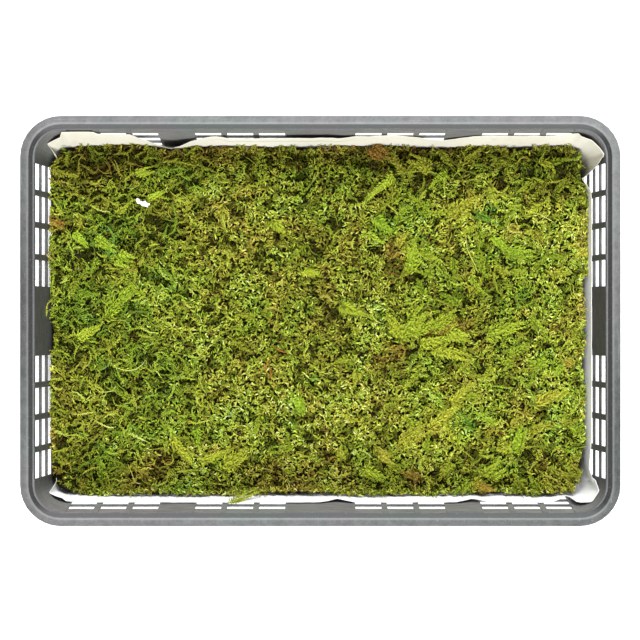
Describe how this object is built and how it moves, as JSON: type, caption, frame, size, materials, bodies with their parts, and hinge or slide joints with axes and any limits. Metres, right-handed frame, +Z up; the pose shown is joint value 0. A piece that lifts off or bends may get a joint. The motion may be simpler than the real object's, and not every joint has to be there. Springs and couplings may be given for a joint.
{
  "type": "tray of moss",
  "caption": "Slotted plastic tray lined with paper and filled with laid sheets of living feather moss, for growing, storing, carrying or displaying moss.",
  "frame": {"origin": "on the surface that the tray stands on, under the middle of the tray", "axes": "+X along the tray's length to the right in the picture, +Y across it to the top of the picture, +Z up out of the tray"},
  "size_m": [0.6, 0.41, 0.0899],
  "materials": {
    "tray_plastic": "matte",
    "liner_paper": "matte",
    "moss_dark": "matte",
    "moss_golden": "matte",
    "moss_bright": "matte",
    "scrap_paper": "matte",
    "dry_needle": "matte"
  },
  "bodies": {
    "root": {"tray": "tray_plastic", "paper_liner": "liner_paper", "moss_sheet_left": "moss_dark", "moss_sheet_middle": "moss_golden", "moss_sheet_right": "moss_bright", "white_scrap": "scrap_paper", "dry_needle_1": "dry_needle", "dry_needle_2": "dry_needle", "dry_needle_3": "dry_needle"}
  },
  "joints": []
}
